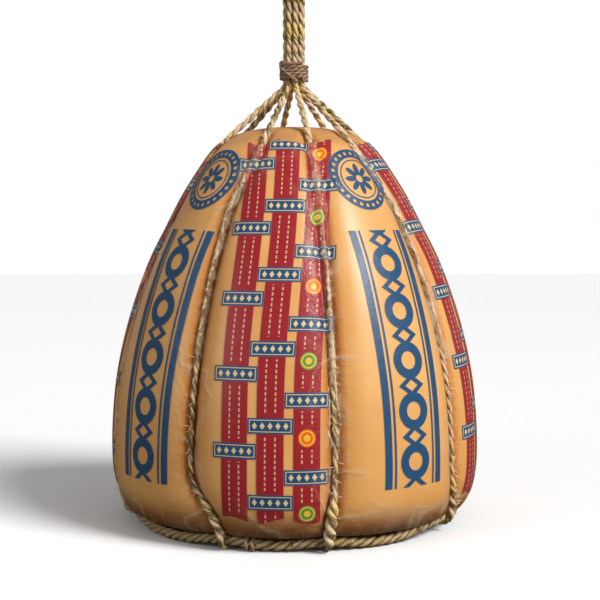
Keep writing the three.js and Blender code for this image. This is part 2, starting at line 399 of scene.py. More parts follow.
def spin_lobe(bm, rows, lobe):
    """Adds one lobe's even skin. Gives each new vertex with its row and its share of the lobe."""
    row_of = bm.verts.layers.int["row"]
    before = len(bm.verts)
    outline = []
    for i, row in enumerate(rows):
        vert = bm.verts.new(around(LOBE_ANGLE * lobe, row["radius"], row["height"]))
        vert[row_of] = i
        outline.append(vert)
    edges = [bm.edges.new(pair) for pair in zip(outline, outline[1:])]
    bmesh.ops.spin(
        bm,
        geom=outline + edges,
        cent=(0, 0, 0),
        axis=(0, 0, 1),
        angle=math.radians(LOBE_ANGLE),
        steps=LOBE_COLUMNS,
        use_merge=False,
    )
    bm.verts.ensure_lookup_table()
    found = []
    for vert in bm.verts[before:]:
        turned = math.degrees(math.atan2(vert.co.x, -vert.co.y)) - LOBE_ANGLE * lobe
        column = round(((turned + 180) % 360 - 180) / LOBE_ANGLE * LOBE_COLUMNS)
        share = 0.5 - 0.5 * math.cos(math.pi * clamp(column / LOBE_COLUMNS))
        found.append((vert, rows[vert[row_of]], share))
    return found


def lobe_span(lobe, height):
    """The angles of the two cords beside a lobe."""
    low = cord_angle(CORDS[lobe], height)
    high = cord_angle(CORDS[(lobe + 1) % len(CORDS)], height)
    return low, high + (360 if lobe == len(CORDS) - 1 else 0)


def put(vert, row, angle, depth):
    """Puts a vertex at an angle, a depth under the crest."""
    place = Vector((row["radius"], row["height"])) - depth * row["out"]
    vert.co = around(angle, max(place.x, 0), place.y)


# %% [markdown]
# Finishes are built from small math nodes. Short helpers place a node, a math node or a mix of colours,
# which keeps each material readable. Colours are given as the eye sees them and turned to linear light.


# %% Node helpers
def linear(red, green, blue):
    """A colour as the eye sees it, 0 to 255, as linear light with full alpha."""
    light = []
    for value in (red, green, blue):
        light.append(((value / 255 + 0.055) / 1.055) ** 2.4 if value > 10 else value / 3294)
    return (*light, 1)


def fill(tree, socket, value):
    """Links another node's result to a socket, or sets a plain value."""
    if isinstance(value, bpy.types.NodeSocket):
        tree.links.new(value, socket)
    else:
        socket.default_value = value


def fill_all(tree, node, inputs):
    for key, value in inputs.items():
        fill(tree, node.inputs[key], value)


def place(tree, kind, inputs=None, **settings):
    """Adds a node, sets its options and fills its inputs with values or links."""
    node = tree.nodes.new(kind)
    for key, value in settings.items():
        setattr(node, key, value)
    fill_all(tree, node, inputs or {})
    return node


def calc(tree, operation, *values, limit=False):
    """A math node's result."""
    node = place(tree, "ShaderNodeMath", dict(enumerate(values)), operation=operation, use_clamp=limit)
    return node.outputs[0]


def blend(tree, share, first, second):
    """A mix of two colours."""
    node = place(tree, "ShaderNodeMix", data_type="RGBA")
    for key, value in (("Factor", share), ("A", first), ("B", second)):
        kind = "VALUE" if key == "Factor" else "RGBA"
        fill(tree, next(s for s in node.inputs if s.name == key and s.type == kind), value)
    return next(s for s in node.outputs if s.type == "RGBA")


def ramp(tree, value, low, high):
    """A value stretched so that low gives 0 and high gives 1."""
    return place(
        tree, "ShaderNodeMapRange", {"Value": value, "From Min": low, "From Max": high}, clamp=True
    ).outputs["Result"]


def new_material(name):
    """A material with its Principled BSDF, ready for the finish."""
    material = bpy.data.materials.new(name)
    material.use_nodes = True
    tree = material.node_tree
    return material, tree, tree.nodes["Principled BSDF"]


def noise_of(tree, vector, scale, detail=3.0, roughness=0.55):
    return place(
        tree,
        "ShaderNodeTexNoise",
        {"Vector": vector, "Scale": scale, "Detail": detail, "Roughness": roughness},
    ).outputs["Fac"]


def new_group(name, inputs, outputs):
    """A node group with named sockets: (name, kind) for each input, with a value, and for each output."""
    group = bpy.data.node_groups.new(name, "ShaderNodeTree")
    for title, kind, value in inputs:
        socket = group.interface.new_socket(title, in_out="INPUT", socket_type=kind)
        if value is not None:
            socket.default_value = value
    for title, kind in outputs:
        group.interface.new_socket(title, in_out="OUTPUT", socket_type=kind)
    return group, group.nodes.new("NodeGroupInput").outputs, group.nodes.new("NodeGroupOutput").inputs


def use_group(tree, group, inputs):
    return place(tree, "ShaderNodeGroup", inputs, node_tree=group).outputs


# %% [markdown]
# The creases of shrunk film belong to two materials, the film and the glossy cheese under it, so they
# are one group. Film shrinks into long shallow creases, so the noise is warped by a slower noise and
# folded about its middle, which makes thin ridges instead of soft hills.

# %% Film crease group
FLOAT, COLOUR, VECTOR = "NodeSocketFloat", "NodeSocketColor", "NodeSocketVector"

creases, crease_in, crease_out = new_group(
    "film creases",
    [("Vector", VECTOR, None), ("Scale", FLOAT, 40.0)],
    [("Height", FLOAT), ("Haze", FLOAT), ("Long", FLOAT)],
)
slow = place(
    creases, "ShaderNodeTexNoise", {"Vector": crease_in["Vector"], "Scale": 18.0, "Detail": 2.0}
).outputs["Color"]
warped = place(
    creases, "ShaderNodeVectorMath", {0: slow, 1: (0.05, 0.05, 0.05)}, operation="MULTIPLY"
).outputs[0]
warped = place(
    creases, "ShaderNodeVectorMath", {0: crease_in["Vector"], 1: warped}, operation="ADD"
).outputs[0]


def ridges(noise_value, sharpness, power):
    """Thin ridges where a noise crosses its middle."""
    folded = calc(creases, "ABSOLUTE", calc(creases, "SUBTRACT", noise_value, 0.5))
    ridge = calc(creases, "SUBTRACT", 1.0, calc(creases, "MULTIPLY", folded, sharpness, limit=True))
    return calc(creases, "POWER", ridge, power)


fold = noise_of(creases, warped, crease_in["Scale"], detail=4.0, roughness=0.6)
creases.links.new(ridges(fold, 5.0, 2.5), crease_out["Height"])
creases.links.new(ramp(creases, fold, 0.5, 0.68), crease_out["Haze"])
creases.links.new(ridges(noise_of(creases, warped, 15.0, detail=1.0), 16.0, 2.0), crease_out["Long"])

# %% [markdown]
# Provolone has a smooth, waxy, golden rind. Under the film it looks wet and glossy, and on the bare dome
# it is more matt and a little browner. The colour wanders in large soft clouds. Shade is painted into it:
# a darker gold towards the edges of the lobes, a deep amber shade and glow right beside the cords, and a
# brown shade round the bottom edge, where the rind is also a little browner.

# %% Cheese finish
BARE_FROM = 366 * MM
GOLDEN = linear(232, 176, 104)
DEEP_GOLDEN = linear(220, 156, 82)
RIB_EDGE_PAINTED_SHADE = linear(202, 132, 44)
GROOVE_AMBER_PAINTED_SHADE = linear(194, 104, 6)
UNDERSIDE_BROWN_AND_PAINTED_SHADE = linear(112, 60, 16)
DOME_TAN = linear(200, 144, 86)
DOME_BROWN = linear(176, 120, 68)

rind, tree, shader = new_material("provolone rind")
where = place(tree, "ShaderNodeTexCoord").outputs["Object"]
near = place(tree, "ShaderNodeAttribute", attribute_name="near_cord").outputs["Fac"]
height = place(tree, "ShaderNodeSeparateXYZ", {0: where}).outputs["Z"]
bare = ramp(tree, height, BARE_FROM, BARE_FROM + 8 * MM)
clouds = ramp(tree, noise_of(tree, where, 9.0, detail=4.0), 0.35, 0.7)
golden = blend(tree, clouds, GOLDEN, DEEP_GOLDEN)
# Painted shade: the gold darkens towards the cords, at the edges of the lobes, where shade would fall.
golden = blend(tree, calc(tree, "MULTIPLY", ramp(tree, near, 0.0, 0.8), 0.45), golden, RIB_EDGE_PAINTED_SHADE)
# Painted shade and glow: a deep, saturated amber right beside the cords, where the grooves lie in shade and light
# shines through the cheese.
golden = blend(tree, calc(tree, "MULTIPLY", ramp(tree, near, 0.58, 0.82), 0.95), golden, GROOVE_AMBER_PAINTED_SHADE)
# Painted shade with a little real browning: the colour turns dark brown round the bottom edge, where little light
# reaches from below.
low = ramp(tree, height, 44 * MM, 20 * MM)
golden = blend(tree, calc(tree, "MULTIPLY", low, 0.85), golden, UNDERSIDE_BROWN_AND_PAINTED_SHADE)
mottle = ramp(tree, noise_of(tree, where, 60.0, detail=5.0), 0.4, 0.75)
dome = blend(tree, calc(tree, "MULTIPLY", mottle, 0.6), DOME_TAN, DOME_BROWN)
open_rind = calc(tree, "SUBTRACT", 1.0, ramp(tree, near, 0.5, 0.85))
coat = calc(tree, "MULTIPLY", open_rind, calc(tree, "MULTIPLY_ADD", bare, -0.28, 0.38))
film_folds = use_group(tree, creases, {"Vector": where, "Scale": 60.0})
long_fold = calc(tree, "MULTIPLY", film_folds["Long"], calc(tree, "MULTIPLY_ADD", near, 1.6, 0.3))
strained = calc(tree, "MULTIPLY_ADD", near, 0.8, 0.1)
wrinkle = calc(tree, "MULTIPLY_ADD", film_folds["Height"], strained, long_fold)
grain = calc(tree, "MULTIPLY_ADD", noise_of(tree, where, 320.0, detail=2.0), 0.08, wrinkle)
bump = place(tree, "ShaderNodeBump", {"Height": grain, "Strength": 0.45, "Distance": 0.6 * MM})
rind_inputs = {
    "Base Color": blend(tree, bare, golden, dome),
    "Roughness": calc(tree, "MULTIPLY_ADD", bare, 0.1, 0.42),
    "Coat Weight": coat,
    "Coat Roughness": 0.28,
    "Specular IOR Level": 0.2,
    "Subsurface Weight": 0.15,
    "Subsurface Radius": (0.012, 0.005, 0.002),
    "Normal": bump.outputs["Normal"],
}
fill_all(tree, shader, rind_inputs)

# %% [markdown]
# Every piece is finished in the same way. Its faces are turned outward and shaded smooth, it rides on
# the one body of the part, and it stands for the solids that it replaces. Its lowest point is printed,
# because the part rests on the floor at height nought.


# %% Finish a piece
def make_piece(name, bm, material, slot, *nodes):
    """Turns a bmesh into a smooth piece that rides on the object and stands for the named nodes."""
    bmesh.ops.recalc_face_normals(bm, faces=bm.faces)
    for face in bm.faces:
        face.smooth = True
    mesh = bpy.data.meshes.new(name)
    bm.to_mesh(mesh)
    bm.free()
    mesh.materials.append(material)
    piece = bpy.data.objects.new(name, mesh)
    bpy.context.collection.objects.link(piece)
    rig.ride(piece, "root")
    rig.slot(piece, slot)
    if nodes:
        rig.replaces(piece, *nodes)
    lowest = min(vert.co.z for vert in mesh.vertices)
    print(f"{name}: {len(mesh.polygons)} faces, from {lowest / MM:.1f} mm up")
    return piece


# %% [markdown]
# The film is creased most beside the cords and round the bottom edge. That nearness is kept with each
# vertex as a value from 0 to 1, which both finishes read.


# %% Where the film is strained
def film_strain(row, from_cord):
    beside = 1 - clamp(from_cord / (30 * MM))
    return max(beside, 0.75 * (1 - smoothstep(row["height"], 22 * MM, 60 * MM)))


# %% [markdown]
# The cheese is spun lobe by lobe and pressed in beside the cords. Its seams are then merged, so the skin
# is closed.

# %% The cheese
cheese_bm = bmesh.new()
cheese_bm.verts.layers.int.new("row")
near_of = cheese_bm.verts.layers.float.new("near_cord")
for lobe in range(len(CORDS)):
    for vert, row, share in spin_lobe(cheese_bm, ROWS, lobe):
        low, high = lobe_span(lobe, row["height"])
        arc = math.radians(high - low) * row["radius"]
        from_cord = min(share, 1 - share) * arc
        put(vert, row, lerp(low, high, share), press(row, from_cord, arc / 2))
        vert[near_of] = film_strain(row, from_cord)
bmesh.ops.remove_doubles(cheese_bm, verts=cheese_bm.verts, dist=0.01 * MM)
make_piece("provolone_body", cheese_bm, rind, "wrapped_cheese", "cheese")

# %% [markdown]
# The sleeve's print repeats round the cheese: four wide fields of red bands, and four narrow fields of
# blue bars with a medallion above. Its own sizes are fixed in the flat film, so each face carries a map
# with the distance from the middle of the nearest field and the distance up the crest, both in metres.

# %% Maps of the print
BAND_FIELDS = [-98, -6.5, 80, 170]
BAR_FIELDS = [-50, 37.5, 125, 214]
BAND_DRIFT = 3
FIELD_SHRINK = 0.08


def field_angle(angle, fields, drift, height):
    """The angle from the nearest field's middle, and that middle."""
    shift = drift * smoothstep(height, 150 * MM, 340 * MM)
    return min(((angle - middle - shift + 180) % 360 - 180 for middle in fields), key=abs)


def map_print(bm, angle_of, rows_of_vert):
    """Writes both maps, with each face on one field only."""
    maps = (("bands", BAND_FIELDS, BAND_DRIFT), ("bars", BAR_FIELDS, 0))
    for name, fields, drift in maps:
        layer = bm.loops.layers.uv.new(name)
        for face in bm.faces:
            here = []
            for loop in face.loops:
                row = rows_of_vert[loop.vert]
                here.append((loop, row, field_angle(angle_of[loop.vert], fields, drift, row["height"])))
            first = here[0][2]
            for loop, row, away in here:
                if abs(away - first) > 45:
                    away += 360 / len(fields) * (1 if first > 0 else -1)
                shrunk = 1 - FIELD_SHRINK * smoothstep(row["height"], 180 * MM, 340 * MM)
                loop[layer].uv = (math.radians(away) * row["radius"] / shrunk, row["along"])


# %% [markdown]
# The sleeve is the same skin, a hair outside the cheese. High up it rides over each cord. Lower down it
# was slit along each cord, so it starts a few millimetres beside it, with a torn, slightly curled edge.
# Where it stands off the cheese it turns milky, so the gap is kept as a value for the finish. The lists
# have one value for each cord: how high its slit goes, how far from the cord's middle the film starts
# and how wide the milky ridge is, in millimetres, and how milky the slit's edge is, as a share.

# %% The printed sleeve
SLIT_TOPS = [200, 178, 160, 172, 190, 168, 182, 175]
SLIT_HALF_WIDTHS = [4.4, 4.6, 3.2, 4.4, 4.6, 4.4, 4.6, 4.4]
RIDGE_WIDTHS = [2, 2, 4, 2.6, 2.2, 2.6, 2.2, 2.6]
RIDGE_WIDTH_AT_SHOULDER = 7
EDGE_HAZE = [0.25, 0.3, 0.9, 0.35, 0.3, 0.3, 0.3, 0.3]
EDGE_CURL = 1.5 * MM
SLEEVE_FIRST_RADIUS = 139 * MM
SLEEVE_TOP_RADIUS = 74 * MM
RAGGED_TOP = 5 * MM
FILM_THICKNESS = 0.15 * MM


def wander(x, y, z, scale):
    """Smooth noise, about -1 to 1, for a size of wave given in metres."""
    return noise.noise(Vector((x, y, z)) / scale)


def slit_edge(cord_index, side, height):
    """How far from a cord's middle the film starts."""
    torn = wander(cord_index * 0.7, side * 0.9, height, 17 * MM)
    torn += 0.6 * wander(side, cord_index, height, 6 * MM)
    opening = smoothstep(SLIT_TOPS[cord_index] * MM + 16 * MM * torn - height, -10 * MM, 24 * MM)
    return opening * (SLIT_HALF_WIDTHS[cord_index] + 1.5 * torn) * MM


def row_at(along):
    """The crest's row at a distance along it."""
    at = clamp(along / ROWS[-1]["along"]) * (len(ROWS) - 1)
    i = min(int(at), len(ROWS) - 2)
    a, b, share = ROWS[i], ROWS[i + 1], at - i
    return {key: a[key] + (b[key] - a[key]) * share for key in a}


def in_sleeve(row):
    """Whether the sleeve reaches a row, from just outside the flat underside to the shoulder."""
    under_top = row["along"] < 150 * MM or row["radius"] > SLEEVE_TOP_RADIUS
    off_flat = row["height"] > 0 and row["radius"] > SLEEVE_FIRST_RADIUS or row["height"] > 20 * MM
    return under_top and off_flat


sleeve_rows = [row for row in ROWS if in_sleeve(row)]
sleeve_bm = bmesh.new()
sleeve_bm.verts.layers.int.new("row")
loose_of = sleeve_bm.verts.layers.float.new("loose")
near_of = sleeve_bm.verts.layers.float.new("near_cord")
sleeve_angle, sleeve_row = {}, {}
top_along = sleeve_rows[-1]["along"]
for lobe in range(len(CORDS)):
    for vert, row, share in spin_lobe(sleeve_bm, sleeve_rows, lobe):
        low, high = lobe_span(lobe, row["height"])
        angle = lerp(low, high, share)
        sine, cosine = math.sin(math.radians(angle)), math.cos(math.radians(angle))
        ragged = wander(sine, cosine, 0, 0.16) + 0.7 * wander(sine, cosine, 3, 0.05)
        near_top = smoothstep(row["along"], top_along - 30 * MM, top_along)
        row = row_at(row["along"] + RAGGED_TOP * ragged * near_top)
        arc = math.radians(high - low) * row["radius"]
        side = 0 if share < 0.5 else 1
        beside = (lobe + side) % len(CORDS)
        edge = slit_edge(beside, side, row["height"])
        from_cord = min(share, 1 - share) * arc
        near = film_strain(row, from_cord)
        from_cord = edge + from_cord * (1 - edge / (arc / 2))
        share = from_cord / arc if side == 0 else 1 - from_cord / arc
        angle = lerp(low, high, share)
        lobe_depth = press(row, from_cord, arc / 2)
        closed = 1 - smoothstep(edge, 0, 4 * MM)
        tent = lerp(lobe_depth, min(lobe_depth, over_cord(row, from_cord)), closed)
        spot = around(angle, row["radius"], row["height"])
        fold = 1 - 2.4 * abs(wander(*spot, 13 * MM)) + 0.8 * wander(spot.z, spot.x, spot.y, 5 * MM)
        off_floor = smoothstep(row["height"], 6 * MM, 30 * MM)
        curl = off_floor * (1 - smoothstep(from_cord, edge, edge + 4 * MM)) * smoothstep(edge, 0, 3 * MM)
        standing = lobe_depth - tent
        on_cord = smoothstep(standing, 0.3 * MM, 3 * MM)
        crumple = off_floor * max(0, fold) * (0.5 * near**2 + 0.7 * on_cord)
        lift = FILM_LIFT + EDGE_CURL * curl * (0.4 + 0.6 * fold) + crumple * MM
        put(vert, row, angle, tent - lift)
        at_shoulder = smoothstep(row["height"], 295 * MM, 350 * MM)
        width = lerp(RIDGE_WIDTHS[beside], RIDGE_WIDTH_AT_SHOULDER, at_shoulder) * MM
        ridge = 1 - smoothstep(from_cord - edge + 1.2 * MM * fold, 0.35 * width, width)
        torn_off = SLIT_TOPS[beside] * MM - row["height"]
        haze = lerp(EDGE_HAZE[beside], 0.25, smoothstep(torn_off, 50 * MM, 90 * MM))
        vert[loose_of] = ridge * max(on_cord, haze * smoothstep(curl, 0, 0.5))
        vert[near_of] = near
        sleeve_angle[vert], sleeve_row[vert] = angle, row
map_print(sleeve_bm, sleeve_angle, sleeve_row)
bmesh.ops.remove_doubles(sleeve_bm, verts=sleeve_bm.verts, dist=0.02 * MM)

# %% [markdown]
# The print is drawn with plain shapes in millimetres. Each shape is first a distance that is negative
# inside it, so two of them join by their smaller value, and one rule turns a distance into an inked
# area with a slightly soft edge. The motifs are generic ones, drawn for this part.


# %% Shapes for the print
INK_EDGE = 0.35


def inked(tree, distance):
    """1 inside a shape and 0 outside, with a soft edge."""
    return calc(tree, "MULTIPLY_ADD", distance, -1 / INK_EDGE, 0.5, limit=True)


def from_line(tree, value, middle):
    return calc(tree, "ABSOLUTE", calc(tree, "SUBTRACT", value, middle))


def from_repeat(tree, value, first, pitch):
    """The distance to the nearest of many places a pitch apart."""
    return calc(tree, "PINGPONG", calc(tree, "SUBTRACT", value, first - 100 * pitch), pitch / 2)


def box_shape(tree, across, along, half_width, half_height):
    over = calc(tree, "SUBTRACT", across, half_width)
    return calc(tree, "MAXIMUM", over, calc(tree, "SUBTRACT", along, half_height))


def lozenge_shape(tree, across, along, half_width, half_height):
    slant = calc(tree, "MULTIPLY_ADD", along, half_width / half_height, across)
    return calc(tree, "MULTIPLY", calc(tree, "SUBTRACT", slant, half_width), 0.7)


def disc_shape(tree, across, along, radius):
    squares = calc(tree, "MULTIPLY_ADD", across, across, calc(tree, "MULTIPLY", along, along))
    return calc(tree, "SUBTRACT", calc(tree, "SQRT", squares), radius)


def hoop_shape(tree, across, along, radius, half_width):
    return calc(tree, "SUBTRACT", calc(tree, "ABSOLUTE", disc_shape(tree, across, along, radius)), half_width)


def both(tree, first, second):
    return calc(tree, "MAXIMUM", first, second)


def either(tree, first, second):
    return calc(tree, "MINIMUM", first, second)


def millimetres(tree, vector):
    """The two parts of a map in metres, in millimetres."""
    parts = place(tree, "ShaderNodeSeparateXYZ", {0: vector}).outputs
    return calc(tree, "MULTIPLY", parts["X"], 1000.0), calc(tree, "MULTIPLY", parts["Y"], 1000.0)


# %% [markdown]
# The wide field has three red bands. Plain blue tags cross them, one step higher on each band, with a
# pale frame and a row of small lozenges. Between them are an orange or a green disc with rings, and
# rows of fine pale dashes. The print ends low down in a wavy line.

# %% Wide field with bands and tags
RED_INK = linear(158, 34, 42)
BLUE_INK = linear(36, 78, 114)
CREAM_INK = linear(228, 200, 150)
ORANGE_INK = linear(232, 104, 30)
YELLOW_INK = linear(240, 190, 50)
GREEN_INK = linear(92, 146, 66)
BAND_PITCH = 32.8
BAND_HALF_WIDTH = 12.2
TAG_PITCH = 68.4
TAG_HALF_WIDTH = 20.5
TAG_HALF_HEIGHT = 7


def along_at(height):
    """The distance up the crest at a height on the cheese's side, in millimetres."""
    side = [row for row in ROWS if row["height"] > 20 * MM]
    return min(side, key=lambda row: abs(row["height"] - height * MM))["along"] / MM


PRINT_BOTTOM = along_at(33)

bands, band_in, band_out = new_group(
    "bands and tags", [("Vector", VECTOR, None)], [("Ink", FLOAT), ("Colour", COLOUR)]
)
across, along = millimetres(bands, band_in["Vector"])
wave = calc(bands, "MULTIPLY", calc(bands, "SINE", calc(bands, "MULTIPLY", across, 0.13)), 3.0)
above = calc(bands, "SUBTRACT", calc(bands, "ADD", wave, PRINT_BOTTOM), along)
reach = calc(bands, "SUBTRACT", calc(bands, "ABSOLUTE", across), 1.5 * BAND_PITCH)
in_band = calc(bands, "SUBTRACT", from_repeat(bands, across, 0, BAND_PITCH), BAND_HALF_WIDTH)
ink = inked(bands, both(bands, both(bands, in_band, reach), above))
colour = RED_INK
dash_rows = calc(bands, "SUBTRACT", from_repeat(bands, across, 0, BAND_PITCH), 4.5)
dashes = box_shape(bands, calc(bands, "ABSOLUTE", dash_rows), from_repeat(bands, along, 0, 5), 0.7, 1.5)
for step in (-1, 0, 1):
    middle = step * BAND_PITCH
    to_band = from_line(bands, across, middle)
    first_tag = PRINT_BOTTOM + 18 + step * TAG_PITCH / 3
    first_disc = PRINT_BOTTOM + 53 + step * TAG_PITCH / 3
    to_tag = from_repeat(bands, along, first_tag, TAG_PITCH)
    to_disc = from_repeat(bands, along, first_disc, TAG_PITCH)
    spare = both(bands, box_shape(bands, to_band, to_disc, 9, 24), dashes)
    if step == 1:
        spare = both(bands, spare, calc(bands, "SUBTRACT", 10.5, to_disc))
    colour = blend(bands, calc(bands, "MULTIPLY", inked(bands, spare), 0.75), colour, CREAM_INK)
    if step == 1:
        odd = from_repeat(bands, along, first_disc, 2 * TAG_PITCH)
        face = blend(bands, calc(bands, "LESS_THAN", odd, TAG_PITCH / 2), GREEN_INK, ORANGE_INK)
        colour = blend(bands, inked(bands, disc_shape(bands, to_band, to_disc, 8)), colour, face)
        ring = hoop_shape(bands, to_band, to_disc, 6.2, 0.6)
        colour = blend(bands, inked(bands, ring), colour, YELLOW_INK)
        heart = disc_shape(bands, to_band, to_disc, 3.0)
        colour = blend(bands, inked(bands, heart), colour, YELLOW_INK)
    tag = box_shape(bands, to_band, to_tag, TAG_HALF_WIDTH, TAG_HALF_HEIGHT)
    tag = both(bands, tag, calc(bands, "ADD", above, 5.0))
    ink = calc(bands, "MAXIMUM", ink, inked(bands, tag))
    colour = blend(bands, inked(bands, tag), colour, BLUE_INK)
    frame_line = calc(bands, "SUBTRACT", calc(bands, "ABSOLUTE", calc(bands, "ADD", tag, 1.9)), 0.35)
    beads = lozenge_shape(bands, from_repeat(bands, across, middle, 7), to_tag, 2.3, 3.2)
    pale = either(bands, frame_line, both(bands, beads, calc(bands, "ADD", tag, 3.2)))
    colour = blend(bands, inked(bands, pale), colour, CREAM_INK)
bands.links.new(ink, band_out["Ink"])
bands.links.new(colour, band_out["Colour"])

# %% [markdown]
# The narrow field is printed in blue alone: a thick and a thin bar up each side, a chain of heavy rings
# and lozenges between them, and above them a medallion with a dotted rim and an eight-petalled flower.

# %% Narrow field with bars and a medallion
BARS_BOTTOM = along_at(57)
BARS_TOP = along_at(288)
MEDALLION_AT = along_at(338)
MEDALLION_SCALE = 1.12
CHAIN_PITCH = 46
RIM_DOTS = 24
RIM_RADIUS = 25.7

bars, bar_in, bar_out = new_group("bars and medallion", [("Vector", VECTOR, None)], [("Ink", FLOAT)])
across, along = millimetres(bars, bar_in["Vector"])
aside = calc(bars, "ABSOLUTE", across)
height_there = from_line(bars, along, (BARS_BOTTOM + BARS_TOP) / 2)
ends = calc(bars, "SUBTRACT", height_there, (BARS_TOP - BARS_BOTTOM) / 2)
outer_bar = calc(bars, "SUBTRACT", from_line(bars, aside, 30), 3.8)
inner_bar = calc(bars, "SUBTRACT", from_line(bars, aside, 22.6), 1.1)
chain_first = BARS_BOTTOM + CHAIN_PITCH / 2
to_link = from_repeat(bars, along, chain_first, CHAIN_PITCH)
to_lozenge = from_repeat(bars, along, chain_first + CHAIN_PITCH / 2, CHAIN_PITCH)
chain = either(
    bars,
    hoop_shape(bars, aside, to_link, 12.6, 4.4),
    calc(bars, "SUBTRACT", calc(bars, "ABSOLUTE", lozenge_shape(bars, aside, to_lozenge, 11, 8)), 2.6),
)
chain = both(bars, chain, calc(bars, "SUBTRACT", aside, 18))
column = both(bars, either(bars, either(bars, outer_bar, inner_bar), chain), ends)

to_medal = calc(bars, "DIVIDE", calc(bars, "SUBTRACT", along, MEDALLION_AT), MEDALLION_SCALE)
across = calc(bars, "DIVIDE", across, MEDALLION_SCALE)
medal_radius = disc_shape(bars, across, to_medal, 0.0)
medal_turn = calc(bars, "ARCTAN2", across, to_medal)
dot_turn = calc(bars, "PINGPONG", calc(bars, "ADD", medal_turn, 7.0), math.pi / RIM_DOTS)
dot_across = calc(bars, "MULTIPLY", dot_turn, RIM_RADIUS)
dots = disc_shape(bars, dot_across, calc(bars, "SUBTRACT", medal_radius, RIM_RADIUS), 1.7)
rim = both(bars, hoop_shape(bars, across, to_medal, RIM_RADIUS, 4.3), calc(bars, "MULTIPLY", dots, -1.0))
thin_rim = hoop_shape(bars, across, to_medal, 18.6, 0.6)
petals = calc(bars, "ABSOLUTE", calc(bars, "COSINE", calc(bars, "MULTIPLY", medal_turn, 4.0)))
flower = calc(bars, "SUBTRACT", medal_radius, calc(bars, "MULTIPLY_ADD", petals, 10.5, 4.5))
flower = both(bars, flower, calc(bars, "SUBTRACT", 3.6, medal_radius))
medallion = either(bars, either(bars, rim, thin_rim), flower)
bars.links.new(inked(bars, either(bars, column, medallion)), bar_out["Ink"])

# %% [markdown]
# The film itself is clear where it touches the wet cheese, so it has little to show but its ink. Where
# it stands off, it turns milky. Its creases beside the cords and round the bottom edge carry thin white
# streaks: painted highlights, with some whitening of the crumpled film. Alpha carries all of these: it
# is high under ink, low in clear film, and in between where the film is loose or streaked.

# %% Film finish
film, tree, shader = new_material("printed film")
where = place(tree, "ShaderNodeTexCoord").outputs["Object"]
band_print = use_group(tree, bands, {"Vector": place(tree, "ShaderNodeUVMap", uv_map="bands").outputs["UV"]})
bar_print = use_group(tree, bars, {"Vector": place(tree, "ShaderNodeUVMap", uv_map="bars").outputs["UV"]})
loose = place(tree, "ShaderNodeAttribute", attribute_name="loose").outputs["Fac"]
near = place(tree, "ShaderNodeAttribute", attribute_name="near_cord").outputs["Fac"]
folds = use_group(tree, creases, {"Vector": where, "Scale": 60.0})
patches = ramp(tree, noise_of(tree, where, 55.0, detail=4.0, roughness=0.65), 0.4, 0.62)
flecks = ramp(tree, noise_of(tree, where, 190.0, detail=4.0, roughness=0.6), 0.42, 0.6)
cloudy = calc(tree, "MULTIPLY_ADD", flecks, 0.45, calc(tree, "MULTIPLY", patches, 0.4))
broken = calc(tree, "MULTIPLY_ADD", flecks, 0.5, 0.6)
over_gap = ramp(tree, calc(tree, "MULTIPLY", loose, broken), 0.2, 0.7)
milky_and_painted_highlights = calc(tree, "MULTIPLY", over_gap, calc(tree, "ADD", cloudy, 0.14), limit=True)
# Painted highlights: thin white streaks along the film's creases, strongest beside the cords, partly whitened crumpled
# film.
crumple_highlight_mask = calc(tree, "MULTIPLY", ramp(tree, near, 0.35, 1.0), calc(tree, "MULTIPLY", patches, 0.26))
crease_painted_highlights = calc(tree, "MULTIPLY", crumple_highlight_mask, folds["Height"])
long_crease_painted_highlights = calc(tree, "MULTIPLY", folds["Long"], calc(tree, "MULTIPLY_ADD", near, 0.36, 0.01))
milky_and_painted_highlights = calc(tree, "MAXIMUM", milky_and_painted_highlights, calc(tree, "MAXIMUM", crease_painted_highlights, long_crease_painted_highlights))
MILKY_FILM_AND_HIGHLIGHT = linear(238, 214, 172)
colour = blend(tree, band_print["Ink"], MILKY_FILM_AND_HIGHLIGHT, band_print["Colour"])
colour = blend(tree, bar_print["Ink"], colour, BLUE_INK)
# The milky film and the painted crease highlights lighten the colour here and raise the alpha below.
colour = blend(tree, calc(tree, "MULTIPLY", milky_and_painted_highlights, 0.4), colour, MILKY_FILM_AND_HIGHLIGHT)
ink = calc(tree, "MULTIPLY", calc(tree, "MAXIMUM", band_print["Ink"], bar_print["Ink"]), 0.94)
alpha = calc(tree, "MAXIMUM", ink, calc(tree, "MULTIPLY_ADD", milky_and_painted_highlights, 0.8, 0.02))
relief = calc(tree, "MULTIPLY_ADD", folds["Long"], 1.5, folds["Height"])
strained = calc(tree, "MULTIPLY_ADD", near, 0.6, 0.1)
bump = place(tree, "ShaderNodeBump", {"Height": relief, "Distance": 0.7 * MM, "Strength": strained})
film_inputs = {
    "Base Color": colour,
    "Alpha": alpha,
    "Roughness": calc(tree, "MULTIPLY_ADD", folds["Haze"], 0.1, 0.34),
    "Specular IOR Level": 0.3,
    "Normal": bump.outputs["Normal"],
}
fill_all(tree, shader, film_inputs)
sleeve = make_piece("printed_sleeve", sleeve_bm, film, "wrapped_cheese", "cheese")
wall = sleeve.modifiers.new("film thickness", "SOLIDIFY")
wall.thickness = FILM_THICKNESS
wall.offset = 1

# %% [markdown]
# A straw cord is twisted from two plies of dried marsh grass. A straight one is a ring shaped like a
# waisted oval, spun and lifted at once, which is what a screw does. It keeps a flat map of the cord's
# skin in its UVs, and is then laid along its route.


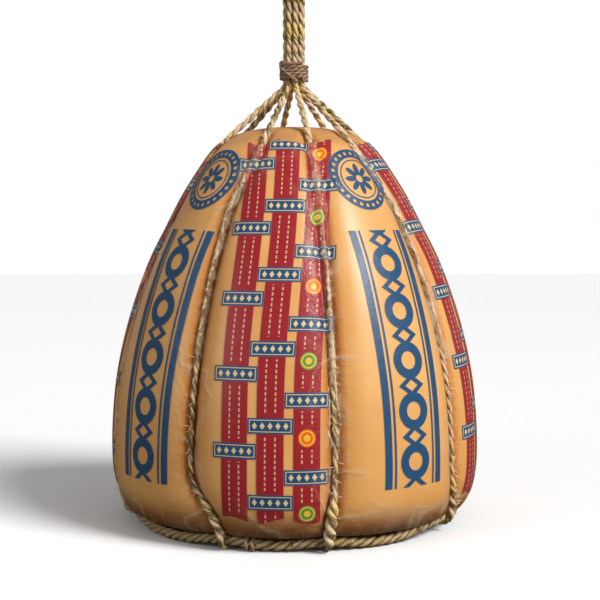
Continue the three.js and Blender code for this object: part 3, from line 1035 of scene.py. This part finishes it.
# %% Twist a cord and lay it on a route
def twisted(length, rings, radius, plies, lay, sides, waist):
    """A straight cord that stands on +Z, one turn of the plies for every lay of length."""
    bm = bmesh.new()
    ring = bmesh.ops.create_circle(bm, cap_ends=False, segments=sides, radius=radius)["verts"]
    for vert in ring:
        around_it = math.atan2(vert.co.y, vert.co.x)
        vert.co *= 1 - waist * (1 - abs(math.cos(plies * around_it / 2)))
    turn = -math.tau * length / lay
    bmesh.ops.spin(
        bm,
        geom=ring + list(bm.edges),
        cent=(0, 0, 0),
        axis=(0, 0, 1),
        dvec=(0, 0, length / rings),
        angle=turn,
        steps=rings,
        use_merge=False,
    )
    skin = bm.loops.layers.uv.new("cord")
    for face in bm.faces:
        turns = []
        for loop in face.loops:
            co = loop.vert.co
            turns.append((math.atan2(co.y, co.x) / math.tau - turn / math.tau * co.z / length) % 1)
        for loop, share in zip(face.loops, turns):
            if max(turns) - share > 0.5:
                share += 1
            loop[skin].uv = (share * math.tau * radius, loop.vert.co.z)
    return bm


def lay_along(bm, line, thickness, heart=None):
    """Bends a straight piece on to a line. The thickness is one share of the straight piece's, or a list
    with a share for each ring. A line that closes is given the heart that it goes round."""
    frames = []
    closed = heart is not None
    side = None
    for i, point in enumerate(line):
        before = line[i - 1] if i else (line[-2] if closed else point)
        after = line[i + 1] if i < len(line) - 1 else (line[1] if closed else point)
        ahead = (after - before).normalized()
        if closed:
            side = point - heart
        elif side is None:
            side = ahead.orthogonal()
        side = (side - side.dot(ahead) * ahead).normalized()
        frames.append((point, side, ahead.cross(side)))
    step = (max(vert.co.z for vert in bm.verts)) / (len(line) - 1)
    for vert in bm.verts:
        i = int(clamp(round(vert.co.z / step), 0, len(line) - 1))
        point, across, up = frames[i]
        size = thickness[i] if isinstance(thickness, list) else thickness
        vert.co = point + size * (vert.co.x * across + vert.co.y * up)
    if closed:
        bmesh.ops.remove_doubles(bm, verts=bm.verts, dist=0.02 * MM)
    else:
        bmesh.ops.holes_fill(bm, edges=bm.edges, sides=0)
    return bm


def roughen(bm, amount, scale, seed):
    """Moves the skin in and out a little, as no two stalks are alike."""
    bm.normal_update()
    offset = Vector((seed * 3.1, seed * 7.7, seed * 1.3))
    for vert in bm.verts:
        vert.co += vert.normal * amount * noise.noise(vert.co * scale + offset)


# %% [markdown]
# Straw is a bundle of flat stalks that run along each ply. Its colour changes from stalk to stalk, from
# pale straw to olive and brown, and stays the same for a few centimetres of length, so the noise is
# stretched along the cord. The UVs give the place round and along the cord in metres. Shade is painted
# into the crevices where the plies meet, and a brown shade on the straw that lies under the film.

# %% Straw finish
stalks, stalk_in, stalk_out = new_group(
    "straw stalks",
    [
        ("Map", VECTOR, None),
        ("Place", VECTOR, None),
        ("Plies", FLOAT, 2.0),
        ("Girth", FLOAT, 0.025),
        ("Age", FLOAT, 0.0),
    ],
    [("Streak", FLOAT), ("Olive", FLOAT), ("Yellow", FLOAT), ("Painted crevice shade", FLOAT)],
)
parts = place(stalks, "ShaderNodeSeparateXYZ", {0: stalk_in["Map"]}).outputs


def stretched(round_share, offset):
    """The cord's map squeezed along its length, so that noise on it runs in stalks."""
    across = calc(stalks, "MULTIPLY_ADD", parts["X"], round_share, offset)
    return place(stalks, "ShaderNodeCombineXYZ", {"X": across, "Y": parts["Y"]}).outputs[0]


# A slow noise over the cord, and a shift given for some cords, turn more of the stalks olive.
olive_drift = noise_of(stalks, stalk_in["Place"], 7.0, detail=1.0)
olive = noise_of(stalks, stretched(2.4, 0.0), 44.0, detail=2.0)
olive = calc(stalks, "ADD", olive, calc(stalks, "MULTIPLY", olive_drift, 0.4))
olive_level = calc(stalks, "ADD", olive, stalk_in["Age"])
yellow = noise_of(stalks, stretched(2.4, 5.0), 40.0, detail=2.0)
streak = noise_of(stalks, stretched(9.0, 2.0), 190.0, detail=3.0)
stalks.links.new(ramp(stalks, olive_level, 0.76, 0.85), stalk_out["Olive"])
stalks.links.new(ramp(stalks, yellow, 0.5, 0.6), stalk_out["Yellow"])
stalks.links.new(ramp(stalks, streak, 0.36, 0.66), stalk_out["Streak"])
ply = calc(stalks, "MULTIPLY", calc(stalks, "DIVIDE", parts["X"], stalk_in["Girth"]), stalk_in["Plies"])
crown = calc(stalks, "ABSOLUTE", calc(stalks, "COSINE", calc(stalks, "MULTIPLY", ply, math.pi)))
# Painted shade: a mask that is 1 in the crevices where the plies meet.
stalks.links.new(ramp(stalks, crown, 0.55, 0.05), stalk_out["Painted crevice shade"])

STALK_CREAM = linear(250, 224, 190)
STALK_TAN = linear(222, 184, 128)
STALK_YELLOW = linear(236, 204, 98)
STALK_OLIVE = linear(96, 82, 42)
STALK_CREVICE_PAINTED_SHADE = linear(70, 50, 26)
UNDER_FILM_PAINTED_SHADE = linear(128, 76, 26)


def straw_finish(name, cream, tan, yellow, olive, radius, plies, relief, olive_shift=0.0):
    """Dry stalks on a cord: cream and tan streaks, with yellow and olive stretches, painted shade in the crevices
    between the plies and a painted brown shade on the straw under the film.
    """
    material, tree, shader = new_material(name)
    on_cord = place(tree, "ShaderNodeUVMap", uv_map="cord").outputs["UV"]
    where = place(tree, "ShaderNodeTexCoord").outputs["Object"]
    girth = math.tau * radius
    cord_skin = {"Map": on_cord, "Place": where, "Plies": plies, "Girth": girth, "Age": olive_shift}
    stalk = use_group(tree, stalks, cord_skin)
    colour = blend(tree, stalk["Streak"], tan, cream)
    colour = blend(tree, calc(tree, "MULTIPLY", stalk["Yellow"], 0.7), colour, yellow)
    colour = blend(tree, calc(tree, "MULTIPLY", stalk["Olive"], 0.85), colour, olive)
    # Painted shade: the crevices between the plies are darkened.
    colour = blend(tree, calc(tree, "MULTIPLY", stalk["Painted crevice shade"], 0.8), colour, STALK_CREVICE_PAINTED_SHADE)
    # Painted shade: between the tops of the slits and the dome, where the film covers the cord, the straw is darkened
    # to brown.
    height = place(tree, "ShaderNodeSeparateXYZ", {0: where}).outputs["Z"]
    above_slit = ramp(tree, height, 165 * MM, 205 * MM)
    below_dome = ramp(tree, height, 366 * MM, 350 * MM)
    under_film_shade_mask = calc(tree, "MULTIPLY", above_slit, below_dome)
    colour = blend(tree, calc(tree, "MULTIPLY", under_film_shade_mask, 0.85), colour, UNDER_FILM_PAINTED_SHADE)
    bump = place(tree, "ShaderNodeBump", {"Height": stalk["Streak"], "Strength": 0.8, "Distance": relief})
    straw_inputs = {
        "Base Color": colour,
        "Roughness": 0.7,
        "Specular IOR Level": 0.3,
        "Normal": bump.outputs["Normal"],
    }
    fill_all(tree, shader, straw_inputs)
    return material


stalk_colours = (STALK_CREAM, STALK_TAN, STALK_YELLOW, STALK_OLIVE)
straw = straw_finish("twisted straw", *stalk_colours, CORD_RADIUS, 2, 0.5 * MM)
olive_straw = straw_finish("olive straw", *stalk_colours, CORD_RADIUS, 2, 0.5 * MM, olive_shift=0.12)
ring_straw = straw_finish(
    "ring straw",
    linear(228, 200, 156),
    linear(172, 138, 94),
    linear(196, 166, 90),
    linear(84, 70, 42),
    radius=RING_THICKNESS,
    plies=3,
    relief=0.6 * MM,
)
twine = straw_finish(
    "brown twine",
    linear(196, 160, 132),
    linear(148, 116, 90),
    linear(158, 124, 94),
    linear(90, 68, 52),
    radius=2.4 * MM,
    plies=2,
    relief=0.4 * MM,
)

# %% [markdown]
# The cords above the tie come first. They are held taut by whatever the cheese hangs from, so they run
# straight up out of the view into a second whipping, and two of them are one length that makes an eye.

# %% Hanging cords
HANG_START = TIE_MIDDLE + GAP / 2
HANG_LAY = 22 * MM
CORD_STEP = 1.6 * MM


def bundle_angle(k):
    return BUNDLE_TURN + 360 / len(CORDS) * k


def hang_points(k):
    heights = [lerp(HANG_START, WHIP_TOP + 5 * MM, i / 5) for i in range(6)]
    return [around(bundle_angle(k), BUNDLE_RADIUS, height) for height in heights]


def eye_points():
    def side(angle):
        return [
            around(angle, BUNDLE_RADIUS, HANG_START),
            around(angle, BUNDLE_RADIUS, WHIP_BOTTOM - 20 * MM),
            around(angle, BUNDLE_RADIUS, WHIP_TOP),
            around(angle, EYE_HALF_WIDTH - 4 * MM, WHIP_TOP + 0.28 * EYE_HEIGHT),
            around(angle, EYE_HALF_WIDTH, WHIP_TOP + 0.6 * EYE_HEIGHT),
            around(angle, 0.62 * EYE_HALF_WIDTH, WHIP_TOP + 0.92 * EYE_HEIGHT),
        ]

    up = side(bundle_angle(EYE_CORD))
    down = side(bundle_angle(EYE_CORD + len(CORDS) / 2))[::-1]
    return up + [Vector((0, 0, WHIP_TOP + EYE_HEIGHT))] + down


def cord_piece(name, points, radius, nodes, lay=HANG_LAY, thickness=None, material=straw):
    """A twisted cord along a smooth line through points. Gives the piece, its line and its length."""
    line = smooth_line(points, CORD_STEP)
    length = line_length(line)
    bm = twisted(length, len(line) - 1, radius, plies=2, lay=lay, sides=16, waist=0.45)
    sizes = [thickness(i / (len(line) - 1), line[i]) for i in range(len(line))] if thickness else 1.0
    lay_along(bm, line, sizes)
    roughen(bm, 0.35 * MM, 140, len(name) + sum(map(ord, name)) % 17)
    return make_piece(name, bm, material, "straw", *nodes), line, length


hung = 0
for k in range(len(CORDS)):
    if k % (len(CORDS) // 2) == EYE_CORD:
        continue
    hung += 1
    nodes = [f"hang_cord_{hung}"]
    piece, line, length = cord_piece(f"hanging_cord_{hung}", hang_points(k), NECK_RADIUS, nodes)
    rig.cord(
        piece,
        exit=line[0],
        length=length,
        diameter=2 * NECK_RADIUS,
        far_end="object",
        stiffness="stiff",
        lay="taut",
        path=line,
    )
eye, EYE_LINE, EYE_LENGTH = cord_piece("hanging_eye", eye_points(), NECK_RADIUS, ["hang_eye"])

# %% [markdown]
# Each bound cord is drawn up round the ring, doubled back on itself for a few centimetres, pulled into
# its groove, and let go at the shoulder to run straight to the tie. Its points are those of the solid.

# %% Routes of the bound cords
DOME_EDGE_HEIGHTS = (362, 370.5, 376.5)
EDGE_RISE = 1.2 * MM


def row_near(height):
    """The outside row nearest to a height in millimetres."""
    return min(ROWS, key=lambda row: abs(row["height"] - height * MM))


ROUTE_ROWS = [row for row in ROWS[::5] if 20 * MM < row["height"] < 352 * MM]
ROUTE_ROWS += [row_near(height) for height in DOME_EDGE_HEIGHTS]


def rope_points(cord, k):
    ring_radius, ring_height = (value * MM for value in cord["ring"])
    doubled = cord["doubled"] * MM
    beside = ring_radius + RING_THICKNESS + GAP
    points = [
        around(cord["foot"], beside + LOOP_THICKNESS, ring_height - 5 * MM),
        around(cord["foot"], beside + doubled - 0.7 * MM, ring_height),
        around(cord["foot"], beside + doubled + 0.8 * MM, ring_height + 8 * MM),
    ]
    for row in ROUTE_ROWS:
        height = row["height"]
        if height < ring_height + 14 * MM:
            continue
        thick = lerp(doubled, CORD_RADIUS, smoothstep(height, 38 * MM, 58 * MM))
        rise = EDGE_RISE * smoothstep(height, 371 * MM, 376 * MM) + 0.4 * (thick - CORD_RADIUS)
        lift = thick + 1.5 * GAP + rise - row["grooves"] * (LOBE_DEPTH + NOTCH_DEPTH)
        place_out = Vector((row["radius"], height)) + lift * row["out"]
        points.append(around(cord_angle(cord, height), place_out.x, place_out.y))
    entry = around(bundle_angle(k), BUNDLE_RADIUS + 2.2 * MM, TIE_BOTTOM - 5.5 * MM)
    points += [points[-1].lerp(entry, 0.4), points[-1].lerp(entry, 0.85), entry]
    points.append(around(bundle_angle(k), BUNDLE_RADIUS, TIE_BOTTOM - 1.5 * MM))
    points.append(around(bundle_angle(k), BUNDLE_RADIUS, TIE_MIDDLE - GAP / 2))
    return points


ROPE_LAY = 24 * MM


def rope_thickness(cord):
    doubled = cord["doubled"] * MM / CORD_RADIUS

    def thickness(share, point):
        size = lerp(doubled, SQUEEZED, smoothstep(point.z, 36 * MM, 58 * MM))
        size = lerp(0.5, size, smoothstep(share, 0, 0.02))
        size = lerp(size, 1.0, smoothstep(point.z, 350 * MM, 380 * MM))
        return lerp(size, NECK_RADIUS / CORD_RADIUS, smoothstep(point.z, 415 * MM, 431 * MM))

    return thickness


# These cords are given more olive stalks.
OLIVE_CORDS = [1, 4, 7]
bound_lines = []
for k, cord in enumerate(CORDS):
    _, line, _ = cord_piece(
        f"bound_cord_{k + 1}",
        rope_points(cord, k),
        CORD_RADIUS,
        [f"rope_{k + 1}"],
        lay=ROPE_LAY,
        thickness=rope_thickness(cord),
        material=olive_straw if k in OLIVE_CORDS else straw,
    )
    bound_lines.append(line)

# %% [markdown]
# The ring that the cords are looped round is a thicker, darker, three-ply rope. It is a closed line, so
# the plies turn a whole number of times and the two ends are merged. Two small turns of the same rope
# are its knot.


# %% Ring and the turns round it
def ring_centre(angle):
    out = up = 0.0
    for cord in CORDS:
        pulled_to, lifted_to = cord["ring"]
        away = abs((angle - cord["foot"] + 540) % 360 - 180)
        held = 1 - smoothstep(away, 1, 9 + 2.2 * (lifted_to - RING_SAG[1]))
        out = max(out, held * (pulled_to - RING_SAG[0]))
        up = max(up, held * (lifted_to - RING_SAG[1]))
    return around(angle, (RING_SAG[0] + out) * MM, (RING_SAG[1] + up) * MM)


def closed_cord(name, points, heart, radius, turns, plies, material, nodes, step, sides, rough):
    """A twisted cord that closes on itself round its heart."""
    line = smooth_line(points, step, closed=True)
    length = line_length(line)
    bm = twisted(length, len(line) - 1, radius, plies, length / turns, sides, 0.36)
    lay_along(bm, line, 1.0, heart=heart)
    roughen(bm, rough, 150, turns)
    return make_piece(name, bm, material, "straw", *nodes)


RING_TURNS = 34
ring_points = [ring_centre(angle) for angle in range(0, 360, 6)]
ring_heart = Vector((0, 0, 8 * MM))
closed_cord(
    "foot_rope_ring",
    ring_points,
    ring_heart,
    radius=RING_THICKNESS,
    turns=RING_TURNS,
    plies=3,
    material=ring_straw,
    nodes=["foot_ring"],
    step=CORD_STEP,
    sides=21,
    rough=0.9 * MM,
)


def turn_points(angle, reach):
    """A small ring that stands across the foot ring."""
    centre = ring_centre(angle)
    out = around(angle, 1, 0)
    steps = [math.tau * i / 12 for i in range(12)]
    return [centre + reach * (math.cos(a) * out + math.sin(a) * Vector((0, 0, 1))) for a in steps], centre


TURN_REACH = RING_THICKNESS + GAP + LOOP_THICKNESS
SMALL_STEP = 1.2 * MM
for k, cord in enumerate(CORDS):
    points, centre = turn_points(cord["foot"], TURN_REACH)
    closed_cord(
        f"cord_turn_{k + 1}",
        points,
        centre,
        radius=LOOP_THICKNESS,
        turns=3,
        plies=2,
        material=straw,
        nodes=[f"rope_{k + 1}"],
        step=SMALL_STEP,
        sides=12,
        rough=0.1 * MM,
    )
KNOT_ANGLE = -14
KNOT_REACH = RING_THICKNESS + 0.4 * MM
KNOT_SPREAD = (-1.1, 0.9)
for i, spread in enumerate(KNOT_SPREAD):
    points, centre = turn_points(KNOT_ANGLE + spread, KNOT_REACH)
    closed_cord(
        f"ring_knot_{i + 1}",
        points,
        centre,
        radius=2 * MM,
        turns=3,
        plies=2,
        material=ring_straw,
        nodes=[],
        step=SMALL_STEP,
        sides=12,
        rough=0.2 * MM,
    )

# %% [markdown]
# Broken stalks stand off the cords, mostly down in the grooves. Each is a thin three-sided spike rooted
# in its cord and leaning along it, and all of them together are one piece. The film holds the others
# flat, so there are none where it covers the cords.

# %% Stray fibres
FIBRES_ON_A_CORD = 110
FIBRE_RADIUS = 0.34 * MM

stray, tree, shader = new_material("stray stalks")
fill_all(tree, shader, {"Base Color": linear(252, 226, 178), "Roughness": 0.6})

fibre_bm = bmesh.new()
chance = random.Random(8)
for line in bound_lines:
    for _ in range(FIBRES_ON_A_CORD):
        i = chance.randrange(4, len(line) - 12)
        if 175 * MM < line[i].z < 360 * MM or line[i].z < 22 * MM:
            continue
        ahead = (line[i + 1] - line[i]).normalized()
        outward = Vector((line[i].x, line[i].y, 0)).normalized()
        aside = ahead.cross(outward) * chance.uniform(-1.2, 1.2)
        lean = (outward * chance.uniform(0.2, 0.9) + aside + ahead * chance.uniform(-1.2, 1.2)).normalized()
        depth = chance.uniform(3, 8) * MM
        root = line[i] + 0.6 * CORD_RADIUS * (outward + aside).normalized()
        turn = lean.to_track_quat("Z", "Y").to_matrix().to_4x4()
        bmesh.ops.create_cone(
            fibre_bm,
            cap_ends=True,
            segments=3,
            radius1=FIBRE_RADIUS,
            radius2=FIBRE_RADIUS / 4,
            depth=depth,
            matrix=Matrix.Translation(root + lean * depth / 2) @ turn,
        )
make_piece("stray_fibres", fibre_bm, stray, "straw")

# %% [markdown]
# The tie is a few turns of brown twine wound round the cords, with one turn that crosses the rest. A
# winding is a helix, so its route is worked out from the height of a turn.


# %% Tie and top whipping
TWINE_LAY = 15 * MM
WINDING_START = 40
STEPS_A_TURN = 12


def winding(name, bottom, top, turns, radius, twine_radius, nodes):
    rise = (top - bottom) - 2 * twine_radius
    points = []
    for i in range(turns * STEPS_A_TURN + 1):
        share = i / (turns * STEPS_A_TURN)
        angle = WINDING_START + 360 * turns * share
        points.append(around(angle, radius, bottom + twine_radius + rise * share))
    line = smooth_line(points, CORD_STEP)
    length = line_length(line)
    bm = twisted(length, len(line) - 1, twine_radius, plies=2, lay=TWINE_LAY, sides=12, waist=0.3)
    lay_along(bm, line, 1.0)
    roughen(bm, 0.5 * MM, 110, turns)
    return make_piece(name, bm, twine, "twine", *nodes)


WOUND_RADIUS = SLEEVE_INNER + 0.2 * MM
TWINE_RADIUS = 2.3 * MM
winding("tie_winding", TIE_BOTTOM, TIE_TOP, 5, WOUND_RADIUS, TWINE_RADIUS, ["tie"])
whipping = winding("top_winding", WHIP_BOTTOM, WHIP_TOP, 4, WOUND_RADIUS, 1.9 * MM, ["top_whipping"])

cross_points = []
for i in range(13):
    share = i / 12
    bulge = 2.2 * MM * math.sin(math.pi * share)
    cross_points.append(around(-95 + 110 * share, WOUND_RADIUS + bulge, lerp(TIE_TOP, TIE_BOTTOM, share)))
line = smooth_line(cross_points, CORD_STEP)
cross_bm = twisted(line_length(line), len(line) - 1, 2.0 * MM, plies=2, lay=TWINE_LAY, sides=12, waist=0.3)
lay_along(cross_bm, line, 1.0)
make_piece("tie_crossing", cross_bm, twine, "twine")

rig.cord(
    eye,
    exit=EYE_LINE[0],
    length=EYE_LENGTH,
    diameter=2 * NECK_RADIUS,
    far_end="object",
    stiffness="stiff",
    lay="taut",
    path=EYE_LINE,
    with_pieces=[whipping],
)

# %% [markdown]
# The floor is a large plain sheet, and the light is soft: a broad key from the right, a weak fill from
# the left front, a window from the right front and a pale sky. The floor looks white to the camera and
# dark to the rest, so it throws little light back on the underside.

# %% Stage and light
WHITE = (1, 1, 1, 1)
FLOOR_BOUNCE = (0.1, 0.09, 0.08, 1)
KEY_ENERGY = 3.3
KEY_SPREAD = math.radians(24)
KEY_TURN = (math.radians(50), 0, math.radians(55))

floor_bm = bmesh.new()
bmesh.ops.create_grid(floor_bm, x_segments=1, y_segments=1, size=4)
floor_mesh = bpy.data.meshes.new("floor")
floor_bm.to_mesh(floor_mesh)
floor_bm.free()
floor = bpy.data.objects.new("floor", floor_mesh)
bpy.context.collection.objects.link(floor)
floor_finish, tree, shader = new_material("pale floor")
camera_ray = place(tree, "ShaderNodeLightPath").outputs["Is Camera Ray"]
floor_colour = blend(tree, camera_ray, FLOOR_BOUNCE, WHITE)
fill_all(tree, shader, {"Base Color": floor_colour, "Roughness": 0.9})
floor_mesh.materials.append(floor_finish)
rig.stage(floor)


def softbox(name, location, size, power, aim=(0, 0, 0.2)):
    light = bpy.data.lights.new(name, "AREA")
    light.shape = "DISK"
    light.size = size
    light.energy = power
    lamp = bpy.data.objects.new(name, light)
    lamp.location = location
    lamp.rotation_euler = (Vector(aim) - Vector(location)).to_track_quat("-Z", "Y").to_euler()
    bpy.context.collection.objects.link(lamp)


sun = bpy.data.lights.new("key", "SUN")
sun.energy = KEY_ENERGY
sun.angle = KEY_SPREAD
key = bpy.data.objects.new("key", sun)
key.rotation_euler = KEY_TURN
bpy.context.collection.objects.link(key)
softbox("fill", (-1.7, -1.3, 0.9), size=1.3, power=9)
softbox("window", (1.3, -1.6, 0.9), size=1.3, power=7)

# %% [markdown]
# The sky that lights the object is dim, so that the side away from the key stays dark, while the sky
# that the camera sees is plain white.

# %% Sky
SKY_LIGHT = 0.28

world = bpy.data.worlds.new("studio")
world.use_nodes = True
sky = world.node_tree
seen = place(sky, "ShaderNodeLightPath").outputs["Is Camera Ray"]
sky_strength = calc(sky, "MULTIPLY_ADD", seen, 1 - SKY_LIGHT, SKY_LIGHT)
fill_all(sky, sky.nodes["Background"], {"Strength": sky_strength, "Color": WHITE})
bpy.context.scene.world = world
bpy.context.scene.view_settings.view_transform = "Standard"

# %% [markdown]
# Last, the box of the solids and the box of the finished pieces are written side by side, so that the
# picture's sizes can be compared with the part's.

# %% Sizes against the solids
json.dump({"cad": [list(c) for c in CAD_BOX], "visual": [list(c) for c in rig.bounds()]}, open("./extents.json", "w"))
